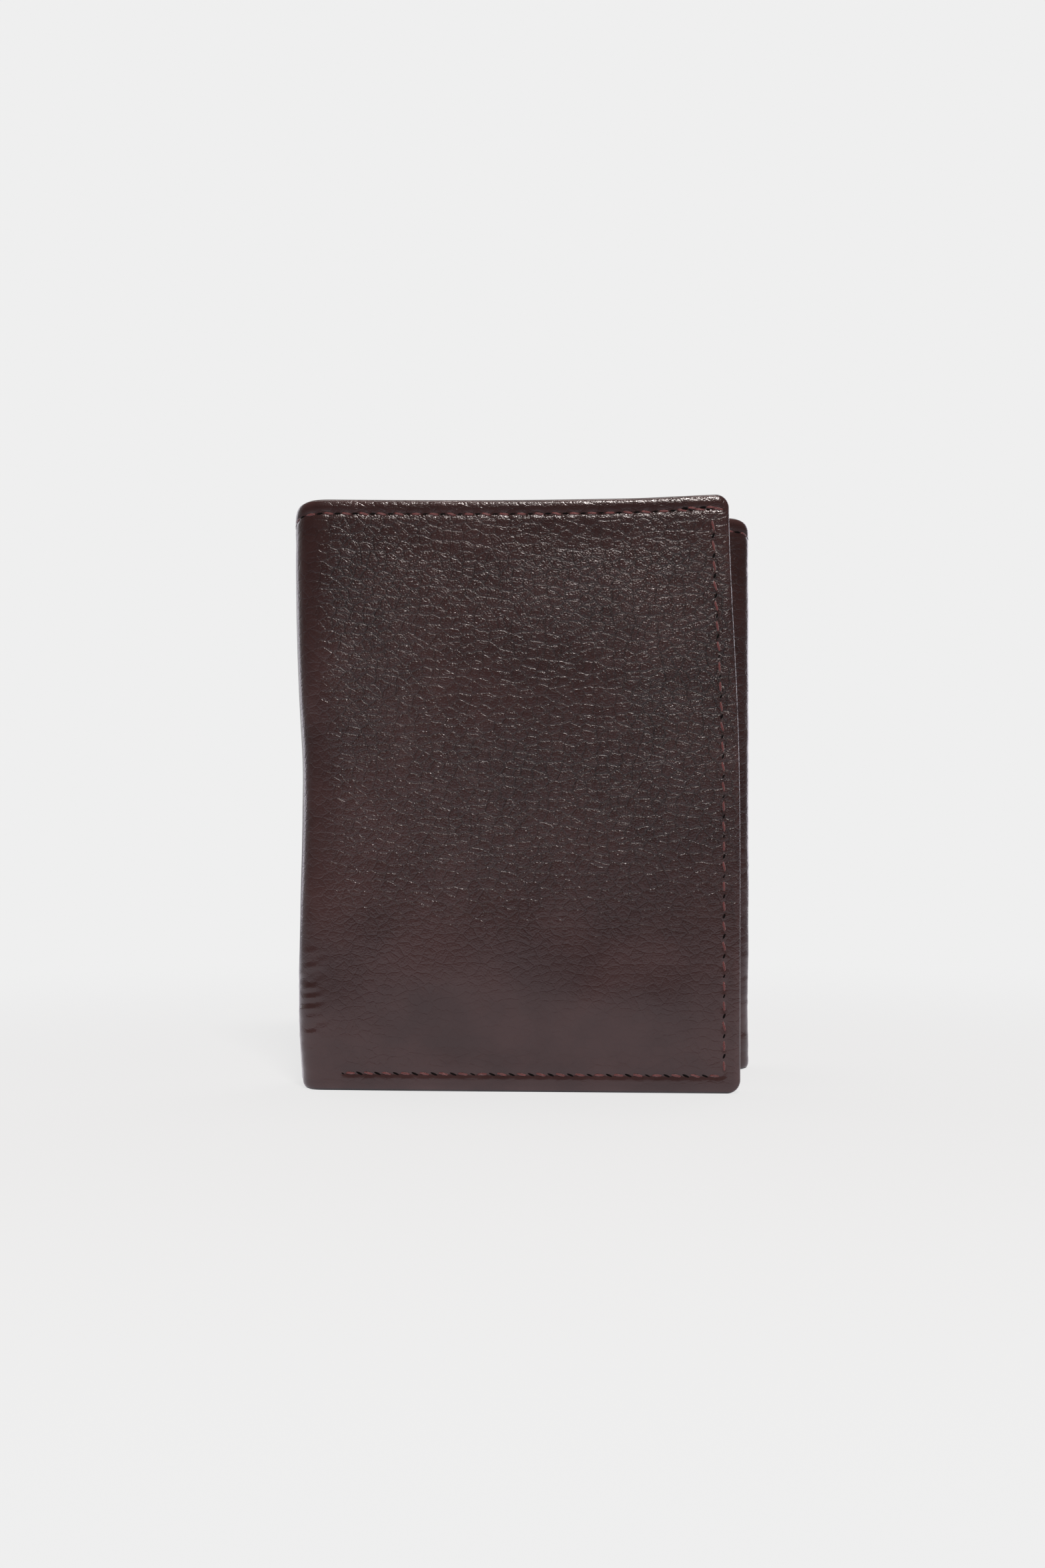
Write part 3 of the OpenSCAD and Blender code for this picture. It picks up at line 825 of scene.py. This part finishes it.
def flat_leather(name, us, zs, face, back, body, *nodes):
    """A cut piece of pocket leather with softly rounded edges, on one panel."""
    distance = np.minimum(us - us.min(), us.max() - us)
    distance = np.minimum(distance, np.minimum(zs - zs.min(), zs.max() - zs))
    soft = rolled(distance, cut_r)
    piece = leaf(name, us, zs, face + soft, back - soft, **cut_wear(distance))
    piece.data.materials.append(pocket_leather)
    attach(piece, body)
    if nodes:
        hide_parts(*nodes)


def edge_lines(start, end, step):
    """Grid lines with close ones at both ends, where an edge is rounded."""
    return lines(start, end, step, [(start, 0.25, 0.06), (end, 0.3, 0.06)])


def grid(start_u, end_u, low, high, step=0.8):
    """A grid over a cut piece."""
    return np.meshgrid(edge_lines(start_u, end_u, step), edge_lines(low, high, step),
                       indexing="ij")


front_unit = (front_edge + unit_inset, press_crease - unit_start)
back_unit = (unit_start, back_w - unit_start)
inner_unit = (inner_crease + unit_start, inner_edge - unit_inset)

# Welts: a strip along the bottom of each panel, and one up each free edge
for name, node, body, unit in (
        ("front", "front_welts", "front_flap", front_unit),
        ("back", "back_welt", "back_panel", back_unit),
        ("inner", "inner_welts", "inner_flap", inner_unit)):
    us, zs = grid(unit[0], unit[1], unit_low, unit_low + welt_w)
    flat_leather(f"welt_{name}_base", us, zs, welt_face, divider_face, body, node)
for name, body, side_u in (
        ("front", "front_flap", front_unit[0]), ("inner", "inner_flap", inner_unit[1] - welt_w)):
    us, zs = grid(side_u, side_u + welt_w, unit_low + welt_w + 0.1, unit_top)
    flat_leather(f"welt_{name}_side", us, zs, welt_face, divider_face, body)


def mouth_crease(below):
    """A line pressed along a mouth, a little under it, and the swell of the turned edge."""
    return 0.1 * smooth((1.5 - below) / 0.8) - 0.09 * bell(below, mouth_crease_below, 0.28)


# Divider: one sheet between the banknotes and the cards, through both folds
for stretch, (start_u, end_u, *_) in STRETCHES.items():
    start_u = max(start_u, front_unit[0])
    end_u = min(end_u, inner_unit[1])
    us, zs = np.meshgrid(
        lines(start_u, end_u, 0.7), edge_lines(unit_low, unit_top, 0.9), indexing="ij")
    distance = np.minimum(zs - unit_low, unit_top - zs)
    soft = rolled(distance, cut_r)
    swell = mouth_crease(unit_top - zs)
    divider = leaf("divider_" + stretch, us, zs, divider_face + soft,
                   divider_back + swell - soft, joined=SPLITS, **cut_wear(distance))
    divider.data.materials.append(pocket_leather)
    follow(divider, stretch)
    if layer_nodes(stretch, "divider"):
        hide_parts(*layer_nodes(stretch, "divider"))


def card_pocket(name, node, unit, body, level, number):
    """One card pocket: open at its mouth, sewn at its sides and along the bottom."""
    top = mouth_low + number * mouth_step
    us, zs = grid(unit[0], unit[1], unit_low, top)
    face = divider_back + level * pocket_t
    across = (us - unit[0]) / (unit[1] - unit[0])
    gape = mouth_gape * np.sin(np.pi * across) ** 2
    gape = gape * smooth((zs - top + mouth_gape_reach) / mouth_gape_reach)
    waves = pocket_wave * soft_noise(us / 12, zs / 13, 30 + level)
    swell = mouth_crease(top - zs) + gape + waves * smooth((top - zs) / 6)
    flat_leather(name, us, zs, face + 0.6 * gape, face + pocket_t + swell, body, node)


for level, number, name in ((0, 2, "rear"), (1, 1, "middle"), (2, 0, "face")):
    card_pocket("pocket_front_" + name, "front_pocket_" + name, front_unit, "front_flap",
                level, number)
for level, number, name in ((0, 1, "rear"), (1, 0, "face")):
    card_pocket("pocket_inner_" + name, "inner_pocket_" + name, inner_unit, "inner_flap",
                level, number)

# ---------------------------------------------------------------------------
# Identity window
# A clear soft plastic film behind a leather frame with a wide opening, sewn to the
# divider of the back panel. A card slides in from the top.
# ---------------------------------------------------------------------------

film_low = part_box("id_window_film")[0].z / MM
film_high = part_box("id_window_film")[1].z / MM
film_lap = 4.0
window_w = 48.0
window_x = (back_unit[0] + back_unit[1] - window_w) / 2
window_low = film_low + film_lap
window_high = film_high - film_lap
window_r = 2.0
film_face = 3.3
film_back = 3.6
film_bulge = 0.12
frame_face = film_back + 0.05
frame_back = 4.3
frame_edge_r = 0.3
frame_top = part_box("id_window_frame")[1].z / MM


def make_window_film():
    """Clear vinyl: glossy, faintly grey, with small scuffs."""
    material, tree, shader = new_material("window film")
    place = pattern_place(tree)
    scuffs = add(tree, "TexNoise", {"Vector": place, "Scale": 0.9, "Detail": 6.0})
    rough = ranged(tree, scuffs.outputs[0], 0.45, 0.75, 0.06, 0.3)
    haze = ranged(tree, scuffs.outputs[0], 0.4, 0.8, 0.1, 0.2)
    glancing = add(tree, "Fresnel", {"IOR": 1.5}).outputs[0]
    waves = add(tree, "TexNoise", {"Vector": place, "Scale": 0.09, "Detail": 1.0})
    fill(tree, shader, {
        "Base Color": (0.36, 0.38, 0.39, 1.0), "Roughness": rough,
        "Alpha": calc(tree, "MULTIPLY_ADD", glancing, 0.8, haze),
        "Normal": bumped(tree, waves.outputs[0], 0.9 * MM)})
    return material


us, zs = grid(window_x - film_lap, window_x + window_w + film_lap, film_low, film_high, 1.6)
bulge = film_bulge * np.sin(np.pi * (zs - film_low) / (film_high - film_low))
film = leaf("id_window_film_clear", us, zs, film_face + bulge, film_back + bulge)
film.data.materials.append(make_window_film())
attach(film, "back_panel")
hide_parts("id_window_film")


def window_distance(us, zs):
    """Distance from the window's rim: below 0 in the opening, whose corners are round."""
    du = np.abs(us - window_x - window_w / 2) - window_w / 2 + window_r
    dz = np.abs(zs - (window_low + window_high) / 2) - (window_high - window_low) / 2 + window_r
    outside = np.hypot(np.maximum(du, 0), np.maximum(dz, 0))
    return outside + np.minimum(np.maximum(du, dz), 0) - window_r


window_sides = [window_x, window_x + window_w]
frame_us = lines(back_unit[0], back_unit[1], 0.8, [
    (back_unit[0], 0.25, 0.06), (back_unit[1], 0.3, 0.06),
    (window_sides[0], 2.0, 0.1), (window_sides[1], 2.0, 0.1)])
frame_zs = lines(unit_low, frame_top, 0.8, [
    (unit_low, 0.25, 0.06), (frame_top, 0.3, 0.06),
    (window_low, 2.0, 0.1), (window_high, 2.0, 0.1)])
us, zs = np.meshgrid(frame_us, frame_zs, indexing="ij")
from_window = window_distance(us, zs)
from_rim = np.minimum(np.minimum(us - back_unit[0], back_unit[1] - us),
                      np.minimum(zs - unit_low, frame_top - zs))
distance = np.minimum(from_window, from_rim)
cell_distance = (from_window[:-1, :-1] + from_window[1:, :-1]
                 + from_window[:-1, 1:] + from_window[1:, 1:]) / 4
frame_soft = rolled(np.maximum(distance, 0), frame_edge_r)
frame_swell = 0.12 * smooth((from_window - 0.2) / 0.8) * smooth((1.9 - from_window) / 0.8)
frame_swell = frame_swell + mouth_crease(frame_top - zs)
window_frame = leaf(
    "id_window_frame_leather", us, zs, frame_face + frame_soft,
    frame_back + frame_swell - frame_soft, keep=cell_distance > 0, **cut_wear(distance))
window_frame.data.materials.append(pocket_leather)
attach(window_frame, "back_panel")
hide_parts("id_window_frame")

# ---------------------------------------------------------------------------
# Seams
# Lockstitched with a thick bonded maroon thread: each stitch dives into a needle
# hole, and the next one comes out of it. The awl leaves slanted holes, drawn as
# flat near-black lenses of painted shade.
# ---------------------------------------------------------------------------

stitch_share = 0.66
thread_r = 0.23
thread_taper = 0.55
thread_height = 0.8
thread_dive = 0.34
ply_twist = 3.0
stitch_slant = math.radians(8)
stitch_unevenness = 0.02
hole_depth = 0.12
hole_sink = 0.01
# Half the length, half the width and the slant of the needle holes of each kind of row
HEM_HOLE = (0.58, 0.22, math.radians(-4))
BASE_HOLE = (0.78, 0.24, math.radians(27))
SIDE_HOLE = (0.6, 0.26, math.radians(-30))
rings = 13
sides = 12
around = np.linspace(0, 2 * math.pi, sides, endpoint=False)


def make_thread():
    """Bonded polyester thread: two plies twisted together, with a waxy shine."""
    material, tree, shader = new_material("maroon thread")
    place = pattern_place(tree)
    parts = add(tree, "SeparateXYZ", {0: place})
    ply = calc(tree, "SINE", calc(tree, "MULTIPLY", parts.outputs[0], 6.2))
    fibre = add(tree, "TexNoise", {"Vector": place, "Scale": 3.2, "Detail": 3.0})
    tone = calc(tree, "MULTIPLY_ADD", ply, 0.32, fibre.outputs[0])
    color = mixed(tree, ranged(tree, tone, 0.15, 0.85),
                  (0.03, 0.005, 0.0048, 1.0), (0.21, 0.036, 0.031, 1.0))
    fill(tree, shader, {
        "Base Color": color, "Roughness": 0.45, "Sheen Weight": 0.3,
        "Normal": bumped(tree, tone, 0.05 * MM)})
    return material


def make_needle_hole_shade():
    """Painted shade: a near-black colour with torn fibres, for the shadow inside each hole the needle
    made.
    """
    material, tree, shader = new_material("needle hole shade")
    place = pattern_place(tree)
    fibre = add(tree, "TexNoise", {"Vector": place, "Scale": 5.0, "Detail": 2.0})
    color = mixed(tree, fibre.outputs[0],
                  (0.0008, 0.0005, 0.0005, 1.0), (0.004, 0.0025, 0.0022, 1.0))
    fill(tree, shader, {"Base Color": color, "Roughness": 0.85, "Specular IOR Level": 0.1})
    return material


# The hole material is painted shade: a near-black lens stands for the shadow inside each hole.
maroon_thread = make_thread()
needle_hole_shade = make_needle_hole_shade()


def tube_quads(count):
    """Faces of many tubes whose points are listed one tube, ring and side at a time."""
    tube = np.arange(count)[:, None, None] * rings * sides
    ring = np.arange(rings - 1)[None, :, None] * sides
    a = np.arange(sides)[None, None, :]
    b = (a + 1) % sides
    first = tube + ring
    quads = np.stack([first + b, first + a, first + sides + a, first + sides + b], -1)
    return quads.reshape(-1, 4)


def stitch_points(length):
    """Rings of a stitch about its own middle: two twisted plies that dive at both ends."""
    s = np.linspace(-1, 1, rings)[:, None]
    size = thread_r * (1 - thread_taper * np.abs(s) ** 5)
    ply = 1 + 0.1 * np.cos(2 * (around - ply_twist * s))
    along = length / 2 * s + 0 * around
    across = size * ply * np.cos(around)
    lift = thread_height * size * ply * np.sin(around) - thread_dive * np.abs(s) ** 3
    return along, across, lift


def hole_points(half_l, half_w):
    """Rings of a hole about its own middle: a flat lens, coloured near-black as painted shade."""
    bow = np.linspace(-math.pi / 2 + 0.05, math.pi / 2 - 0.05, rings)[:, None]
    along = half_l * np.sin(bow) + 0 * around
    across = half_w * np.cos(bow) * np.cos(around)
    lift = hole_depth * np.cos(bow) * np.sin(around)
    return along, across, lift


def seam(name, rows, nodes, stretch=None, body=None):
    """Sews rows of stitches: each row has its middles, its pitch, its direction and depth.

    A row is (us, zs, pitch, upright, depth, facing, hole), and facing is -1 on the outer
    leather and 1 on a face inside the wallet.
    """
    points = []
    patterns = []
    kinds = []
    quads = []
    total = 0
    for us, zs, pitch, upright, depth, facing, (hole_l, hole_w, hole_slant) in rows:
        us, zs = np.broadcast_arrays(np.asarray(us, float), np.asarray(zs, float))
        us = us[:, None, None]
        zs = zs[:, None, None]
        jitter = soft_noise(us * 1.7 + 0.3, zs * 1.3 + 0.7, 44)
        slant = stitch_slant * (1 + 1.1 * jitter)
        stitch = stitch_points(abs(pitch) * stitch_share)
        hole = hole_points(hole_l, hole_w)
        for (along, across, lift), turn, shift, sunk, kind in (
                (stitch, slant, 0.0, 0.0, 0), (hole, hole_slant, abs(pitch) / 2, hole_sink, 1)):
            a = along * np.cos(turn) - across * np.sin(turn) + shift
            c = along * np.sin(turn) + across * np.cos(turn)
            du, dz = (c, a) if upright else (a, c)
            pu = us + du
            pz = zs + dz
            level = depth + facing * (lift + stitch_unevenness * jitter - sunk)
            points.append(to_frame(pu, level, pz).reshape(-1, 3))
            pattern = np.broadcast_arrays(along + 2.1 * around + 9 * us, pz, 0.0)
            patterns.append(np.stack(pattern, -1).reshape(-1, 3))
            faces = tube_quads(len(us)) + total
            if (facing > 0) != bool(upright):
                faces = faces[:, ::-1]
            quads.append(faces)
            kinds.append(np.full(len(faces), kind))
            total += pu.size
    piece = make_mesh(name, np.concatenate(points), np.concatenate(quads),
                      pattern=np.concatenate(patterns))
    piece.data.materials.append(maroon_thread)
    piece.data.materials.append(needle_hole_shade)
    piece.data.polygons.foreach_set("material_index", np.concatenate(kinds).astype(np.int32))
    if body:
        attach(piece, body)
    else:
        follow(piece, stretch)
    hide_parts(*nodes)


face_level = 0.12
over_face = 0.02
over_pocket = 0.03
hem_back_level = turn_depth + over_face
# Two stitches are sewn back over the start of the top seam, moved and shortened by these
back_sewn = 2
back_shift = 0.45
back_share = 0.8
back_rise = 0.33

# Top seam, on the outside and on the turned-over edge inside
HEM_NODES = {
    "front": ["front_hem_thread"],
    "front_turn": ["front_lip_thread"],
    "back_left": ["back_hem_thread", "front_fold_thread"],
    "back_right": ["back_hem_thread"],
    "inner": ["inner_hem_thread", "inner_fold_thread"],
}
for stretch, nodes in HEM_NODES.items():
    start_u, end_u = STRETCHES[stretch][:2]
    own = hem_steps[(hem_steps >= start_u) & (hem_steps < end_u)]
    rows = [(own, hem_z, hem_true, False, face_level, -1, HEM_HOLE),
            (own, hem_z, hem_true, False, hem_back_level, 1, HEM_HOLE)]
    if stretch == "front":
        again = own[:back_sewn] + back_shift * hem_true
        rows.append((again, hem_z + back_rise, back_share * hem_true, False, 0.0, -1, HEM_HOLE))
    seam("seam_top_" + stretch, rows, nodes, stretch)


def pocket_levels(zs, count):
    """Depth of the innermost face beside the free edge at each height."""
    level = np.full(np.shape(zs), divider_back)
    for number in range(count):
        level = np.where(zs < mouth_low + number * mouth_step,
                         np.maximum(level, divider_back + (count - number) * pocket_t), level)
    return level


# Lower seams and side seams go through everything
for name, edge, side, steps, true, count, body in (
        ("front", front_edge, 1, front_base_steps, front_base_true, 3, "front_flap"),
        ("inner", inner_edge, -1, inner_base_steps, inner_base_true, 2, "inner_flap")):
    side_u = edge + side * side_inset
    deepest = divider_back + count * pocket_t
    rows = [
        (steps, base_z, true, False, face_level, -1, BASE_HOLE),
        (steps, base_z, true, False, deepest + over_face, 1, BASE_HOLE),
        (side_u, side_steps, side_true, True, face_level, -1, SIDE_HOLE),
    ]
    for level in np.unique(pocket_levels(side_steps, count)):
        own = side_steps[pocket_levels(side_steps, count) == level]
        rows.append((side_u, own, side_true, True, level + over_face, 1, SIDE_HOLE))
    seam(f"seam_edge_{name}", rows, [name + "_edge_thread"], body=body)

seam("seam_base_back", [
    (back_base_steps, base_z, back_base_true, False, face_level, -1, BASE_HOLE),
    (back_base_steps, base_z, back_base_true, False, frame_back + over_face, 1, BASE_HOLE)],
    ["back_base_thread"], body="back_panel")

# Seams beside the creases, which close the pockets, and the seam round the window
crease_seam_inset = 2.0
window_margin = 2.4
steps, true = row_steps(base_z + 3.0, mouth_low - 1.0, side_pitch)
for name, seam_u, count, body in (
        ("front", front_unit[1] - crease_seam_inset, 3, "front_flap"),
        ("inner", inner_unit[0] + crease_seam_inset, 2, "inner_flap")):
    level = divider_back + count * pocket_t + over_pocket
    seam(f"seam_pocket_{name}", [(seam_u, steps, true, True, level, 1, SIDE_HOLE)],
         [name + "_pocket_thread"], body=body)

across_steps, across_true = row_steps(
    window_x - window_margin, window_x + window_w + window_margin, base_pitch)
up_steps, up_true = row_steps(
    window_low - window_margin, window_high + window_margin, side_pitch)
frame_level = frame_back + over_pocket
seam("seam_window", [
    (across_steps, window_low - window_margin, across_true, False, frame_level, 1, HEM_HOLE),
    (across_steps, window_high + window_margin, across_true, False, frame_level, 1, HEM_HOLE),
    (window_x - window_margin, up_steps, up_true, True, frame_level, 1, SIDE_HOLE),
    (window_x + window_w + window_margin, up_steps, up_true, True, frame_level, 1, SIDE_HOLE)],
    ["id_frame_thread"], body="back_panel")

# ---------------------------------------------------------------------------
# Place and light
# The wallet stands on a pale table top in front of nothing. A small warm light in
# front brings out the grain, a broad one lights the top, and two cool ones the sides.
# ---------------------------------------------------------------------------

backdrop_gray = 0.863
floor_gray = 0.56
near_glow = 1.2
far_glow = 0.3


def make_floor():
    """A pale floor that reaches as far as the eye, with a faint shadow under the wallet."""
    size = 6.0
    points = np.array([[-size, -size, 0], [size, -size, 0], [size, size, 0], [-size, size, 0]])
    floor = make_mesh("floor", points, np.array([[0, 1, 2, 3]]))
    material = bpy.data.materials.new("pale floor")
    material.use_nodes = True
    tree = material.node_tree
    tree.nodes.clear()
    place = add(tree, "NewGeometry").outputs["Position"]
    far = add(tree, "VectorMath", {0: place}, operation="LENGTH").outputs["Value"]
    bounced = ranged(tree, far, 0.06, 0.5, near_glow, far_glow)
    cool = mixed(tree, bounced, (0, 0, 0, 1), (0.97, 0.93, 1.0, 1))
    plain = (backdrop_gray, backdrop_gray, backdrop_gray, 1)
    seen = add(tree, "LightPath").outputs["Is Camera Ray"]
    glow = add(tree, "Emission", {"Color": mixed(tree, seen, cool, plain), "Strength": 1.0})
    matte = add(tree, "BsdfDiffuse", {"Color": (floor_gray, floor_gray, floor_gray, 1)})
    share = ranged(tree, far, 0.05, 0.3, 0.16, 0.0)
    both = add(tree, "MixShader", {0: share, 1: glow.outputs[0], 2: matte.outputs[0]})
    add(tree, "OutputMaterial", {"Surface": both.outputs[0]})
    floor.data.materials.append(material)


make_floor()


def make_world():
    """An even pale surround: plain to the eye, and softly shaded where it lights the leather."""
    world = bpy.data.worlds.new("studio")
    world.use_nodes = True
    tree = world.node_tree
    tree.nodes.clear()
    direction = add(tree, "TexCoord").outputs["Generated"]
    parts = add(tree, "SeparateXYZ", {0: direction})
    front = ranged(tree, parts.outputs[1], -0.1, 1.0, 0.08, 0.7)
    light = add(tree, "Background", {"Color": (1, 1, 1, 1), "Strength": front})
    plain = add(tree, "Background", {"Color": (1, 1, 1, 1), "Strength": backdrop_gray})
    seen = add(tree, "LightPath").outputs["Is Camera Ray"]
    both = add(tree, "MixShader", {0: seen, 1: light.outputs[0], 2: plain.outputs[0]})
    add(tree, "OutputWorld", {"Surface": both.outputs[0]})
    bpy.context.scene.world = world


make_world()


def soft_light(name, place, target, size, power, color):
    """A rectangular soft light that points at its target."""
    lamp = bpy.data.lights.new(name, "AREA")
    lamp.color = color
    lamp.shape = "RECTANGLE"
    lamp.size, lamp.size_y = size
    lamp.energy = power
    holder = bpy.data.objects.new(name, lamp)
    holder.location = place
    towards = np.array(target) - np.array(place)
    holder.rotation_euler = Vector(towards).to_track_quat("-Z", "Y").to_euler()
    holder.visible_camera = False
    bpy.context.scene.collection.objects.link(holder)


warm = (1.0, 0.92, 0.89)
soft_light("front soft light", (-0.08, -0.5, 0.66), (0, 0, 0.06), (0.11, 0.09), 5.5, warm)
soft_light("top soft light", (0.0, 0.1, 0.7), (0, 0, 0.1), (0.4, 0.2), 1.5, warm)
lilac = (0.93, 0.88, 1.0)
soft_light("right rim light", (0.52, 0.44, 0.2), (0, 0, 0.055), (0.3, 0.5), 0.9, lilac)
soft_light("left rim light", (-0.29, 0.62, 0.2), (0, 0, 0.055), (0.3, 0.5), 0.6, lilac)

# The camera looks past the front flap's free edge, this far to its left
view_turn = math.radians(16.1)
edge_to_view = 0.04005
camera_distance = 0.4
camera_height = 0.057
to_right = np.array([math.cos(view_turn), -math.sin(view_turn)])
away = np.array([math.sin(view_turn), math.cos(view_turn)])
nearest_edge = to_frame(front_edge, 0.0, 0.0)[:2]
camera_place = nearest_edge - edge_to_view * to_right - camera_distance * away
camera_data = bpy.data.cameras.new("camera")
camera_data.lens = 50.0
camera_data.sensor_width = 36.0
camera = bpy.data.objects.new("camera", camera_data)
camera.location = (*camera_place, camera_height)
camera.rotation_euler = (math.radians(90), 0.0, -view_turn)
bpy.context.scene.collection.objects.link(camera)
bpy.context.scene.camera = camera
bpy.context.scene.view_settings.view_transform = "Standard"
